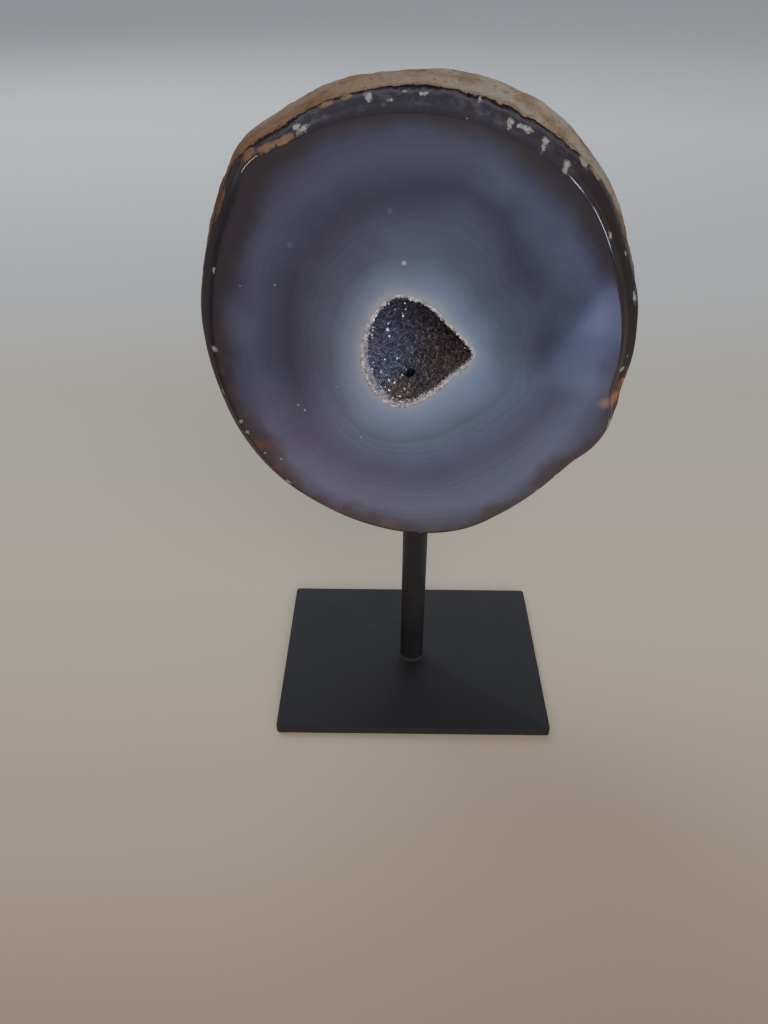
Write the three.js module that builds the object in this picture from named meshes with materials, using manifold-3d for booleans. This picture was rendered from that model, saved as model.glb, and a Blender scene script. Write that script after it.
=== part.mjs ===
// A cut and polished agate half on a black rod stand, in millimetres, +Z up.
// The polished face looks along -Y, and the origin is the middle of the foot plate's underside.
import * as THREE from "three";
import { mergeVertices } from "three/addons/utils/BufferGeometryUtils.js";
import Module from "manifold-3d";

const wasm = await Module();
wasm.setup();

// Stand: a steel foot plate with an upright rod welded to its middle.
const PLATE_WIDTH = 90;
const PLATE_DEPTH = 68;
const PLATE_THICKNESS = 3;
const PLATE_CORNER = 1.2;
const PLATE_CHAMFER = 0.35;
const ROD_RADIUS = 4;
const ROD_IN_STONE = 16;
const ROD_TIP_CHAMFER = 0.6;
const WELD_FILLET = 0.9;
const ROD_SIDES = 28;

// Stone: the polished face is upright in front of the rod, and the rind is domed behind it.
const FACE_Y = -14;
const FACE_CENTRE_X = -1.5;
const FACE_CENTRE_Z = 124;
const BEVEL_DEPTH = 5;
const WIDEST_DEPTH = 16;
const STONE_THICKNESS = 38;
const DOME_POWER = 2.3;
const STONE_SIDES = 80;
const LUMP_HEIGHT = 0.7;

// Outline of the polished face: degrees from +X towards +Z, and the reach from the face centre.
const FACE_OUTLINE = [
  [0, 51.4],
  [15, 51.6],
  [30, 52.3],
  [45, 54.1],
  [60, 55.4],
  [75, 56.4],
  [90, 57.5],
  [105, 58.5],
  [120, 59.4],
  [130, 60.7],
  [138, 58.2],
  [150, 55.3],
  [165, 52.9],
  [180, 51.7],
  [195, 50.8],
  [210, 50.9],
  [225, 51.7],
  [240, 52.2],
  [255, 53.5],
  [270, 55.1],
  [285, 55.7],
  [300, 54.0],
  [315, 52.9],
  [325, 53.0],
  [333, 54.9],
  [341, 54.9],
  [350, 51.4],
];

// How far the polished bevel's back edge stands out past the face's edge.
const BEVEL_REACH = [
  [0, 4.6],
  [45, 4.2],
  [90, 4.0],
  [120, 3.6],
  [135, 3.0],
  [180, 3.2],
  [225, 3.4],
  [270, 3.8],
  [300, 3.4],
  [318, 2.4],
  [340, 2.2],
  [350, 4.4],
];

// How far the rind stands out past the face's edge where the stone is widest.
const RIND_REACH = [
  [0, 5.8],
  [30, 6.6],
  [60, 7.1],
  [90, 6.3],
  [120, 4.3],
  [135, 3.7],
  [165, 5.2],
  [225, 5.0],
  [270, 5.6],
  [315, 5.0],
  [340, 4.6],
  [350, 6.0],
];

// Hollow: a pocket in the face, blunt on the left and pointed on the right, lined with quartz.
const HOLLOW_X = -2.2;
const HOLLOW_Z = 126.6;
const HOLLOW_DEPTH = 22;
const HOLLOW_POWER = 2.3;
const HOLLOW_DETAIL = 9;
const HOLLOW_OUTLINE = [
  [0, 15.3],
  [12, 13.4],
  [30, 11.8],
  [50, 11.4],
  [70, 12.4],
  [90, 14.0],
  [110, 15.6],
  [130, 14.8],
  [150, 14.1],
  [170, 13.9],
  [190, 14.1],
  [210, 14.9],
  [230, 15.8],
  [248, 16.9],
  [262, 16.2],
  [280, 14.1],
  [300, 12.8],
  [320, 12.5],
  [340, 13.8],
  [352, 15.2],
];
const CRUST_THICKNESS = 0.8;
const CRYSTAL_HEIGHT = 1;
const CRYSTAL_VARIATION = 0.4;
const CRYSTAL_LEAN = 0.22;

// A small round pit in the floor of the hollow.
const PIT_X = -3;
const PIT_Y = -0.6;
const PIT_Z = 114.4;
const PIT_RADIUS = 1.6;
const PIT_DETAIL = 2;

// Separate pieces that meet keep this gap.
const GAP = 0.3;

const FULL_TURN = 360;

// Reach at an angle, by a smooth closed curve through the knots of an outline.
function reachAt(outline, degrees) {
  const angle = ((degrees % FULL_TURN) + FULL_TURN) % FULL_TURN;
  const count = outline.length;
  const knot = (i) => {
    const turn = Math.floor(i / count);
    const [a, r] = outline[i - turn * count];
    return [a + turn * FULL_TURN, r];
  };
  let i = count - 1;
  while (outline[i][0] > angle) i -= 1;
  const [a0, r0] = knot(i - 1);
  const [a1, r1] = knot(i);
  const [a2, r2] = knot(i + 1);
  const [a3, r3] = knot(i + 2);
  const span = a2 - a1;
  const t = (angle - a1) / span;
  const leave = ((r2 - r0) / (a2 - a0)) * span;
  const arrive = ((r3 - r1) / (a3 - a1)) * span;
  const t2 = t * t;
  const t3 = t2 * t;
  return (
    (2 * t3 - 3 * t2 + 1) * r1 +
    (t3 - 2 * t2 + t) * leave +
    (3 * t2 - 2 * t3) * r2 +
    (t3 - t2) * arrive
  );
}

// Low swells of the rind, from three crossing waves. Depth is measured back from the face.
function rindSwell(degrees, depth) {
  const a = THREE.MathUtils.degToRad(degrees);
  const across = Math.sin(5 * a + 0.16 * depth + 0.4);
  const slant = Math.sin(9 * a - 0.33 * depth + 2.1);
  const fine = Math.sin(14 * a + 0.5 * depth + 4.0) * Math.sin(0.42 * depth + 1.2);
  return LUMP_HEIGHT * (0.55 * across + 0.45 * slant + 0.45 * fine);
}

// A closed geometry as a solid that can be cut and joined.
function solidOf(geometry) {
  const bare = new THREE.BufferGeometry();
  bare.setAttribute("position", geometry.getAttribute("position"));
  bare.setIndex(geometry.getIndex());
  const merged = mergeVertices(bare, 1e-3);
  const corners = merged.getIndex().array;
  const kept = [];
  for (let i = 0; i < corners.length; i += 3) {
    const [a, b, c] = corners.subarray(i, i + 3);
    if (a !== b && b !== c && c !== a) kept.push(a, b, c);
  }
  return new wasm.Manifold(
    new wasm.Mesh({
      numProp: 3,
      vertProperties: merged.getAttribute("position").array,
      triVerts: new Uint32Array(kept),
    }),
  );
}

// A solid as a geometry with flat faces.
function geometryOf(solid) {
  const mesh = solid.getMesh();
  const geometry = new THREE.BufferGeometry();
  const positions = new THREE.BufferAttribute(mesh.vertProperties, mesh.numProp);
  geometry.setAttribute("position", positions);
  geometry.setIndex(new THREE.BufferAttribute(mesh.triVerts, 1));
  const flat = geometry.toNonIndexed();
  flat.computeVertexNormals();
  return flat;
}

// Where the stone's surface lies, for a profile point given as a share of the way out and a depth.
function stonePoint(degrees, out, depth) {
  const a = THREE.MathUtils.degToRad(degrees);
  const face = reachAt(FACE_OUTLINE, degrees);
  const bevel = face + reachAt(BEVEL_REACH, degrees);
  const widest = face + reachAt(RIND_REACH, degrees);
  let reach = face;
  if (depth > WIDEST_DEPTH) {
    reach = widest;
  } else if (depth > BEVEL_DEPTH) {
    const t = (depth - BEVEL_DEPTH) / (WIDEST_DEPTH - BEVEL_DEPTH);
    reach = bevel + (widest - bevel) * Math.sin((t * Math.PI) / 2);
  } else {
    reach = face + (bevel - face) * Math.pow(depth / BEVEL_DEPTH, 0.8);
  }
  const swell = depth > BEVEL_DEPTH ? rindSwell(degrees, depth) : 0;
  const r = reach * out + swell * Math.min(1, out * 2);
  return [
    FACE_CENTRE_X + r * Math.cos(a),
    FACE_Y + depth,
    FACE_CENTRE_Z + r * Math.sin(a),
  ];
}

// The uncut stone: a lathed profile whose every ring is then pulled out to the stone's outline.
function stoneBody() {
  const profile = [
    new THREE.Vector2(0, 0),
    new THREE.Vector2(0.5, 0),
    new THREE.Vector2(1, 0),
    new THREE.Vector2(1, 0.35 * BEVEL_DEPTH),
    new THREE.Vector2(1, BEVEL_DEPTH),
    new THREE.Vector2(1, 0.65 * BEVEL_DEPTH + 0.35 * WIDEST_DEPTH),
    new THREE.Vector2(1, 0.3 * BEVEL_DEPTH + 0.7 * WIDEST_DEPTH),
    new THREE.Vector2(1, WIDEST_DEPTH),
  ];
  const domeRings = 9;
  const domeHeight = STONE_THICKNESS - WIDEST_DEPTH;
  for (let i = 1; i <= domeRings; i += 1) {
    const up = Math.sin((i / domeRings) * (Math.PI / 2));
    const out = Math.pow(Math.max(0, 1 - Math.pow(up, DOME_POWER)), 1 / DOME_POWER);
    profile.push(new THREE.Vector2(out, WIDEST_DEPTH + domeHeight * up));
  }
  const geometry = new THREE.LatheGeometry(profile, STONE_SIDES);
  const position = geometry.getAttribute("position");
  for (let i = 0; i < position.count; i += 1) {
    const x = position.getX(i);
    const z = position.getZ(i);
    const degrees = THREE.MathUtils.radToDeg(Math.atan2(z, x));
    position.setXYZ(i, ...stonePoint(degrees, Math.hypot(x, z), position.getY(i)));
  }
  return solidOf(geometry);
}

// The hollow's wall: a rounded blob around the hollow's middle on the face, taken in by an inset.
function hollowPoint(direction, inset) {
  const across = Math.hypot(direction.x, direction.z);
  const away = Math.abs(direction.y);
  const norm = Math.pow(
    Math.pow(across, HOLLOW_POWER) + Math.pow(away, HOLLOW_POWER),
    1 / HOLLOW_POWER,
  );
  const degrees = THREE.MathUtils.radToDeg(Math.atan2(direction.z, direction.x));
  const reach = (reachAt(HOLLOW_OUTLINE, degrees) - inset) / norm;
  const depth = (HOLLOW_DEPTH - inset) / norm;
  return new THREE.Vector3(
    HOLLOW_X + direction.x * reach,
    FACE_Y + direction.y * depth,
    HOLLOW_Z + direction.z * reach,
  );
}

function hollowGeometry(inset, detail) {
  const ball = new THREE.IcosahedronGeometry(1, detail);
  const position = ball.getAttribute("position");
  for (let i = 0; i < position.count; i += 1) {
    const direction = new THREE.Vector3().fromBufferAttribute(position, i);
    const point = hollowPoint(direction.normalize(), inset);
    position.setXYZ(i, point.x, point.y, point.z);
  }
  return ball;
}

// A repeatable number from 0 to 1 for each crystal.
function chance(seed) {
  const wave = Math.sin(seed * 127.1 + 11.7) * 43758.5453;
  return wave - Math.floor(wave);
}

// The space inside the quartz crust: each facet of the blob carries a three-sided crystal point.
function crystalSpace() {
  const blob = hollowGeometry(GAP + CRUST_THICKNESS, HOLLOW_DETAIL);
  const facets = blob.getAttribute("position");
  const corners = [new THREE.Vector3(), new THREE.Vector3(), new THREE.Vector3()];
  const points = [];
  for (let i = 0; i < facets.count; i += 3) {
    corners.forEach((corner, k) => corner.fromBufferAttribute(facets, i + k));
    const [a, b, c] = corners;
    const middle = a.clone().add(b).add(c).divideScalar(3);
    const edge = b.clone().sub(a);
    const inward = edge.clone().cross(c.clone().sub(a)).normalize().negate();
    const height = CRYSTAL_HEIGHT + CRYSTAL_VARIATION * (2 * chance(i) - 1);
    const tip = middle.addScaledVector(inward, height);
    tip.addScaledVector(edge, CRYSTAL_LEAN * (2 * chance(i + 1) - 1));
    for (const [from, to] of [
      [a, b],
      [b, c],
      [c, a],
    ]) {
      points.push(...from.toArray(), ...to.toArray(), ...tip.toArray());
    }
  }
  const geometry = new THREE.BufferGeometry();
  geometry.setAttribute("position", new THREE.Float32BufferAttribute(points, 3));
  return solidOf(geometry);
}

// Everything behind the face plane that the crust may fill.
function behindFace() {
  const side = 2 * STONE_THICKNESS;
  const block = new THREE.BoxGeometry(side, side, side);
  block.translate(HOLLOW_X, FACE_Y + side / 2, HOLLOW_Z);
  return solidOf(block);
}

// Height of the stone's underside above the rod's middle line.
function stoneUnderside() {
  const straightDown = 270;
  return stonePoint(straightDown, 1, -FACE_Y)[2];
}

const rodTop = stoneUnderside() + ROD_IN_STONE;

function footPlate() {
  const x = PLATE_WIDTH / 2 - PLATE_CHAMFER;
  const y = PLATE_DEPTH / 2 - PLATE_CHAMFER;
  const r = PLATE_CORNER;
  const outline = new THREE.Shape();
  outline.moveTo(-x + r, -y);
  outline.lineTo(x - r, -y);
  outline.absarc(x - r, -y + r, r, -Math.PI / 2, 0);
  outline.lineTo(x, y - r);
  outline.absarc(x - r, y - r, r, 0, Math.PI / 2);
  outline.lineTo(-x + r, y);
  outline.absarc(-x + r, y - r, r, Math.PI / 2, Math.PI);
  outline.lineTo(-x, -y + r);
  outline.absarc(-x + r, -y + r, r, Math.PI, 1.5 * Math.PI);
  const plate = new THREE.ExtrudeGeometry(outline, {
    depth: PLATE_THICKNESS - 2 * PLATE_CHAMFER,
    bevelThickness: PLATE_CHAMFER,
    bevelSize: PLATE_CHAMFER,
    bevelSegments: 1,
    curveSegments: 4,
  });
  plate.translate(0, 0, PLATE_CHAMFER);
  return plate;
}

function rod() {
  const length = rodTop - PLATE_THICKNESS;
  const profile = [
    new THREE.Vector2(0, 0),
    new THREE.Vector2(ROD_RADIUS + WELD_FILLET, 0),
    new THREE.Vector2(ROD_RADIUS + 0.35 * WELD_FILLET, 0.35 * WELD_FILLET),
    new THREE.Vector2(ROD_RADIUS, WELD_FILLET),
    new THREE.Vector2(ROD_RADIUS, length - ROD_TIP_CHAMFER),
    new THREE.Vector2(ROD_RADIUS - ROD_TIP_CHAMFER, length),
    new THREE.Vector2(0, length),
  ];
  const turned = new THREE.LatheGeometry(profile, ROD_SIDES);
  turned.rotateX(Math.PI / 2);
  return geometryOf(solidOf(turned));
}

// A round ball that hollows out the pit.
function pitCutter() {
  const ball = new THREE.IcosahedronGeometry(PIT_RADIUS, PIT_DETAIL);
  ball.translate(PIT_X, PIT_Y, PIT_Z);
  return solidOf(ball);
}

// The drilled hole that takes the rod, a little wider and deeper than the rod itself.
function socketCutter() {
  const radius = ROD_RADIUS + GAP;
  const length = 2 * ROD_IN_STONE;
  const cutter = new THREE.CylinderGeometry(radius, radius, length, ROD_SIDES);
  cutter.rotateX(Math.PI / 2);
  cutter.translate(0, 0, rodTop + GAP - length / 2);
  return solidOf(cutter);
}

// The agate: one stone with its hollow, the pit in the hollow's floor and the drilled socket.
function agateStone() {
  const hollow = solidOf(hollowGeometry(0, HOLLOW_DETAIL));
  return geometryOf(stoneBody().subtract(hollow).subtract(socketCutter()).subtract(pitCutter()));
}

// The quartz crust: a thin shell of crystals that lines the hollow up to the polished face.
function quartzCrust() {
  const outside = solidOf(hollowGeometry(GAP, HOLLOW_DETAIL));
  const shell = outside.subtract(crystalSpace()).intersect(behindFace());
  return geometryOf(shell.subtract(pitCutter()));
}

function finish(color, roughness, metalness) {
  return new THREE.MeshStandardMaterial({ color, roughness, metalness, flatShading: true });
}

function piece(name, geometry, material) {
  const mesh = new THREE.Mesh(geometry, material);
  mesh.name = name;
  return mesh;
}

const blackPaint = finish("#26262a", 0.55, 0.3);
const polishedAgate = finish("#4d5468", 0.15, 0);
const quartzDruse = finish("#a39c9a", 0.25, 0);

const stand = new THREE.Group();
stand.add(piece("foot_plate", footPlate(), blackPaint));
const upright = piece("rod", rod(), blackPaint);
upright.position.set(0, 0, PLATE_THICKNESS);
stand.add(upright);

const specimen = new THREE.Group();
specimen.add(piece("agate_stone", agateStone(), polishedAgate));
specimen.add(piece("quartz_crust", quartzCrust(), quartzDruse));

const agateOnStand = new THREE.Group();
agateOnStand.add(stand);
agateOnStand.add(specimen);

export default agateOnStand;
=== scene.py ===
"""A cut and polished agate half on a black rod stand, modelled piece by piece on its CAD frame."""

import math
import random

import bpy
import numpy as np
from bpy.props import FloatProperty, FloatVectorProperty, IntProperty, PointerProperty
from mathutils import Matrix, Vector, noise


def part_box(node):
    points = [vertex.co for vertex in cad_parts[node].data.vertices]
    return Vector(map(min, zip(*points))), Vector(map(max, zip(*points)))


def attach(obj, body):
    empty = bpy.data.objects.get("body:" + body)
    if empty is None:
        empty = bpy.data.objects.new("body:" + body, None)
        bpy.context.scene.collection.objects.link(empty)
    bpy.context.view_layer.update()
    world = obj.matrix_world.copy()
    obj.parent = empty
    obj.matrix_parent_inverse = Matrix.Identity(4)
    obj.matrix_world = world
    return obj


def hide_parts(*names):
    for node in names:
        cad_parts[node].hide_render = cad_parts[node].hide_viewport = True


bl_info = {
    "name": "Agate half on a rod stand",
    "version": (1, 0, 0),
    "blender": (4, 5, 0),
    "location": "3D View > Sidebar > Agate",
    "description": "Models a polished agate half with a crystal-lined hollow on its black rod stand",
    "category": "Add Mesh",
}

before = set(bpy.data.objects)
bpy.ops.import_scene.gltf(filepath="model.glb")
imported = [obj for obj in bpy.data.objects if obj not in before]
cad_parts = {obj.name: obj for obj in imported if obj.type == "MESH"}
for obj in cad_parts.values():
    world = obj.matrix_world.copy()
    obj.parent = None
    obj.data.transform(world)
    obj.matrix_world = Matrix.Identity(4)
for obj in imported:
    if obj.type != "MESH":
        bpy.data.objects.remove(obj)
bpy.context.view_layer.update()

MM = 0.001
FULL_TURN = 360.0

# Outlines are in millimetres: degrees from +X towards +Z, and the reach from a centre on the face.
FACE_CENTRE = (-1.5, 124.0)
HOLLOW_CENTRE = (-2.2, 126.6)

FACE_OUTLINE = [
    (0, 51.4), (15, 51.6), (30, 52.3), (45, 54.1), (60, 55.4), (75, 56.4), (90, 57.5), (105, 58.5),
    (120, 59.4), (130, 60.7), (138, 58.2), (150, 55.3), (165, 52.9), (180, 51.7), (195, 50.8),
    (210, 50.9), (225, 51.7), (240, 52.2), (255, 53.5), (270, 55.1), (285, 55.7), (300, 54.0),
    (315, 52.9), (325, 53.0), (333, 54.9), (341, 54.9), (350, 51.4),
]

# How far the bevel's back edge, and then the widest part of the rind, stand out past the face.
BEVEL_REACH = [
    (0, 4.6), (45, 4.2), (90, 4.0), (120, 3.6), (135, 3.0), (180, 3.2), (225, 3.4), (270, 3.8),
    (300, 3.4), (318, 2.4), (340, 2.2), (350, 4.4),
]
RIND_REACH = [
    (0, 5.8), (30, 6.6), (60, 7.1), (90, 6.3), (120, 4.3), (135, 3.7), (165, 5.2), (225, 5.0),
    (270, 5.6), (315, 5.0), (340, 4.6), (350, 6.0),
]

# How far behind the face the polish ends and the rough rind starts.
RIND_START = [
    (0, 8.5), (20, 9.0), (40, 7.4), (50, 6.2), (60, 5.4), (75, 5.0), (90, 5.0), (105, 5.0),
    (115, 4.2), (124, 3.2), (132, 4.0), (140, 6.4), (150, 8.0), (160, 11.0), (172, 14.0),
    (215, 14.0), (240, 10.0), (270, 8.0), (300, 8.0), (330, 7.5),
]

HOLLOW_OUTLINE = [
    (0, 15.3), (12, 13.4), (30, 11.8), (50, 11.4), (70, 12.4), (90, 14.0), (110, 15.6),
    (130, 14.8), (150, 14.1), (170, 13.9), (190, 14.1), (210, 14.9), (230, 15.8), (248, 16.9),
    (262, 16.2), (280, 14.1), (300, 12.8), (320, 12.5), (340, 13.8), (352, 15.2),
]

# How much thicker than elsewhere the quartz crust is where the face cuts it.
CRUST_EXTRA = [
    (0, 0.35), (40, 0.2), (90, 0.25), (130, 0.35), (155, 0.7), (175, 1.3), (195, 1.6), (215, 1.9),
    (235, 1.8), (255, 1.3), (275, 0.9), (300, 0.7), (330, 0.75),
]

# Growth lines round the hollow: the darkest band, the pale band outside it and the dark rim.
DARK_BAND = [
    (0, 32), (20, 36), (40, 33), (60, 38), (80, 40), (100, 38.5), (120, 38.5), (140, 36),
    (160, 33), (180, 32), (200, 32), (220, 34), (240, 36), (260, 36), (280, 36), (300, 34.5),
    (320, 36), (340, 38),
]
PALE_BAND = [
    (0, 45), (20, 47), (40, 42), (60, 44.5), (80, 47), (100, 47), (120, 46), (140, 45), (160, 42),
    (180, 41), (200, 41), (220, 45), (240, 47), (260, 47), (280, 48.5), (300, 49), (320, 46),
    (340, 46.5),
]
DARK_RIM = [
    (0, 51), (20, 51.5), (40, 50), (60, 50), (80, 52.5), (100, 52.5), (120, 52.5), (140, 51),
    (160, 49), (180, 47), (200, 48), (220, 50), (240, 52), (260, 53.5), (280, 54), (300, 54),
    (320, 51.5), (340, 51),
]

# How far the dark brown rim reaches in from the face's edge.
RIM_WIDTH = [
    (0, 2.4), (20, 3.0), (35, 4.6), (50, 6.0), (65, 4.6), (80, 3.2), (100, 3.2), (120, 5.0),
    (140, 7.5), (160, 5.5), (180, 4.6), (200, 4.8), (220, 4.6), (240, 4.0), (260, 3.4), (280, 2.8),
    (300, 1.8), (320, 2.2), (340, 2.6),
]

# Chips along the polished edge: degrees, distance behind the edge, length along it and width.
CHIPS = [
    (101.5, 4.0, 1.1, 2.4), (97.2, 2.0, 0.8, 0.8), (94.0, 4.4, 0.7, 0.6), (90.2, 3.9, 1.3, 0.9),
    (116.0, 0.8, 1.8, 1.2), (117.2, 2.2, 1.2, 1.1), (71.4, 2.1, 0.9, 2.1), (69.2, 2.7, 1.1, 0.9),
    (67.4, 3.0, 1.5, 1.6), (62.6, 2.9, 1.0, 3.2), (55.8, 1.4, 1.1, 2.2), (78.6, 5.2, 0.6, 1.5),
    (36.0, 1.2, 1.1, 0.8), (28.3, 5.2, 1.2, 0.7), (16.4, 5.4, 2.4, 1.1), (1.0, 3.0, 0.8, 0.8),
    (357.4, 2.0, 1.0, 1.6), (353.3, 4.6, 0.8, 1.1), (341.6, 0.3, 1.7, 0.9), (337.0, 1.2, 1.2, 0.7),
    (319.0, 0.4, 1.6, 0.7), (311.5, 0.5, 1.5, 0.7), (272.7, 0.6, 0.7, 0.6), (265.8, 0.6, 0.7, 0.6),
    (251.0, 0.7, 1.0, 0.6), (226.6, 0.2, 1.1, 0.9), (205.0, -0.1, 0.9, 0.8),
    (200.8, -0.2, 0.9, 0.9), (194.6, 2.2, 1.0, 0.8), (190.6, 1.8, 1.3, 0.9),
    (176.7, 0.2, 0.9, 1.9), (154.9, 0.1, 1.0, 0.7),
]

# Patches of rind left on the polished bevel, given in the same way.
RIND_PATCHES = [
    (120.5, 0.7, 2.6, 0.9), (124.3, 0.9, 2.8, 1.0), (128.6, 2.0, 2.2, 1.7), (141.2, 4.8, 4.2, 1.4),
    (150.5, 7.0, 3.4, 1.2), (159.0, 6.4, 2.6, 1.0), (52.0, 6.6, 1.6, 1.5), (48.0, 7.6, 2.0, 1.4),
    (110.2, 4.8, 1.6, 1.2), (105.8, 5.2, 1.6, 1.0),
]

# Specks on the polished face: x, z, radius and strength.
FACE_SPECKS = [
    (-5.4, 149.2, 0.75, 0.75), (-8.8, 161.0, 1.0, 0.07), (-32.1, 153.3, 1.0, 0.07),
    (-31.1, 109.7, 0.45, 0.5), (-32.8, 111.2, 0.4, 0.45), (-16.3, 101.5, 0.45, 0.4),
    (-22.3, 116.6, 0.3, 0.3), (-43.0, 96.1, 0.4, 0.5), (-38.7, 94.2, 0.45, 0.5),
    (-36.4, 143.7, 0.35, 0.4), (-44.8, 143.4, 0.3, 0.35), (7.5, 180.1, 0.3, 0.4),
    (9.4, 179.9, 0.25, 0.4),
]

# The warm glow where light comes through the stone's thin edge: degrees, reach and size.
GLOW_SPOTS = [
    (346.8, 51.0, 1.8), (348.5, 54.4, 2.6), (352.0, 55.6, 2.6), (355.5, 56.8, 2.2),
    (359.0, 57.8, 1.8), (2.5, 58.4, 1.5), (6.0, 58.8, 1.2),
]

# What the agate material reads from each vertex of the stone.
STONE_VALUES = ("growth", "sideways", "upward", "skin", "chip", "patch", "glow", "rim")

# The pit in the hollow's floor.
PIT_CENTRE = (-3.0, -0.6, 114.4)
PIT_RADIUS = 1.6

# Each crystal is set this many degrees round from the last, which spreads them evenly.
GOLDEN_ANGLE = 137.50776

# Power of the curve between a circle, 2, and a square that shapes the hollow and the dome behind.
ROUNDNESS = 2.3

# Growth from the hollow's rim out to the face's edge, with the three growth lines between.
GROWTH_STEPS = (0.0, 0.5, 0.75, 0.9, 1.0)

# A point nearer to the face's plane than this belongs to the face, in millimetres.
ON_FACE = 0.02

# How far the crust stays clear of the stone behind it, and then how far the crust's rim and the
# crystal points that were cut off stay clear of the face's plane, in millimetres.
CRUST_GAP = 0.03
CRUST_SET_BACK = 0.01
POINT_SET_BACK = 0.015

# How finely the round pieces are divided.
STONE_SIDES = 420
LINING_SIDES = 200
ROD_SIDES = 72


def linear(code):
    """An sRGB hex colour as linear red, green and blue."""
    channels = [int(code[i : i + 2], 16) / 255 for i in (1, 3, 5)]
    return tuple(c / 12.92 if c <= 0.04045 else ((c + 0.055) / 1.055) ** 2.4 for c in channels)


LENGTH = {"unit": "LENGTH", "precision": 5}
COLOUR = {"size": 3, "min": 0, "max": 1, "subtype": "COLOR"}

# Settings shared by nodes: a soft slope between two values, and a mix of colours.
SMOOTH = {"interpolation_type": "SMOOTHSTEP"}
COLOURS = {"data_type": "RGBA"}


class AgateStoneSettings(bpy.types.PropertyGroup):
    """Sizes and finish of the stone."""

    face_y: FloatProperty(
        name="Face plane", description="Where the polished face lies along Y", default=-0.014, **LENGTH
    )
    bevel_depth: FloatProperty(
        name="Bevel depth", description="How far back the polished bevel goes", default=0.005, **LENGTH
    )
    widest_depth: FloatProperty(
        name="Widest depth",
        description="How far behind the face the stone is widest",
        default=0.016,
        **LENGTH,
    )
    thickness: FloatProperty(
        name="Thickness", description="From the face to the back of the dome", default=0.038, **LENGTH
    )
    relief: FloatProperty(
        name="Rind relief", description="Height of the rough lumps on the rind", default=0.0004, **LENGTH
    )
    rind_colour: FloatVectorProperty(
        name="Rind", description="Main colour of the weathered rind", default=linear("#8b8579"), **COLOUR
    )
    chip_colour: FloatVectorProperty(
        name="Chips",
        description="Colour of the bruised chips along the edge",
        default=linear("#94928f"),
        **COLOUR,
    )
    polish: FloatProperty(
        name="Polish roughness", description="Roughness of the polished face", default=0.09, min=0, max=1
    )


class AgateDruseSettings(bpy.types.PropertyGroup):
    """Sizes and colours of the quartz in the hollow."""

    depth: FloatProperty(
        name="Hollow depth", description="How deep the hollow goes behind the face", default=0.022, **LENGTH
    )
    crust: FloatProperty(
        name="Crust thickness",
        description="Thickness of the quartz under the crystal points",
        default=0.0003,
        **LENGTH,
    )
    crystal_width: FloatProperty(
        name="Crystal width", description="Width of an average crystal point", default=0.00056, **LENGTH
    )
    crystal_count: IntProperty(
        name="Crystals", description="How many crystal points line the hollow", default=8800, min=10
    )
    pale: FloatVectorProperty(
        name="Rim quartz",
        description="Colour of the quartz near the face",
        default=linear("#c3c2cc"),
        **COLOUR,
    )
    dark: FloatVectorProperty(
        name="Deep quartz",
        description="Colour of the quartz deep in the hollow",
        default=linear("#5a607b"),
        **COLOUR,
    )


class AgateStandSettings(bpy.types.PropertyGroup):
    """Sizes and paint of the stand."""

    rod_radius: FloatProperty(
        name="Rod radius", description="Half the rod's thickness", default=0.004, **LENGTH
    )
    weld: FloatProperty(
        name="Weld", description="Width of the weld bead at the rod's foot", default=0.0009, **LENGTH
    )
    corner: FloatProperty(
        name="Plate corner", description="Radius of the plate's corners", default=0.0012, **LENGTH
    )
    edge: FloatProperty(
        name="Plate edge", description="Width of the plate's rounded edges", default=0.00035, **LENGTH
    )
    paint: FloatVectorProperty(
        name="Powder coat",
        description="Colour of the black powder coat",
        default=linear("#1b1b1e"),
        **COLOUR,
    )


class AgateStageSettings(bpy.types.PropertyGroup):
    """Lights and camera."""

    light: FloatProperty(name="Light", description="Strength of all lights together", default=1.0, min=0)
    lens: FloatProperty(
        name="Lens",
        description="Focal length, with a 36 mm frame on the picture's long side",
        default=27.04,
        unit="CAMERA",
    )


def reach_at(outline, degrees):
    """Reach at an angle, by a smooth closed curve through the knots of an outline."""
    angle = degrees % FULL_TURN
    count = len(outline)

    def knot(i):
        turn = i // count
        a, r = outline[i - turn * count]
        return a + turn * FULL_TURN, r

    i = count - 1
    while outline[i][0] > angle:
        i -= 1
    a0, r0 = knot(i - 1)
    a1, r1 = knot(i)
    a2, r2 = knot(i + 1)
    a3, r3 = knot(i + 2)
    span = a2 - a1
    t = (angle - a1) / span
    leave = (r2 - r0) / (a2 - a0) * span
    arrive = (r3 - r1) / (a3 - a1) * span
    t2 = t * t
    t3 = t2 * t
    start = (2 * t3 - 3 * t2 + 1) * r1 + (t3 - 2 * t2 + t) * leave
    return start + (3 * t2 - 2 * t3) * r2 + (t3 - t2) * arrive


def polar(x, z, centre):
    """The angle in degrees and the reach of a place, seen from a centre on the face."""
    dx = x - centre[0]
    dz = z - centre[1]
    return math.degrees(math.atan2(dz, dx)) % FULL_TURN, math.hypot(dx, dz)


def place_at(centre, degrees, reach, y):
    """The place at an angle and a reach from a centre on the face, at a depth y."""
    a = math.radians(degrees)
    return centre[0] + reach * math.cos(a), y, centre[1] + reach * math.sin(a)


def smooth_step(low, high, value):
    """0 below low and 1 above high, with a soft slope between them."""
    t = min(1.0, max(0.0, (value - low) / (high - low)))
    return t * t * (3 - 2 * t)


def deselect_all():
    """Leaves nothing selected, in object mode."""
    if bpy.context.mode != "OBJECT":
        bpy.ops.object.mode_set(mode="OBJECT")
    bpy.ops.object.select_all(action="DESELECT")


def select_only(obj):
    """Leaves one object selected and active, in object mode."""
    deselect_all()
    obj.select_set(True)
    bpy.context.view_layer.objects.active = obj


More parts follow.
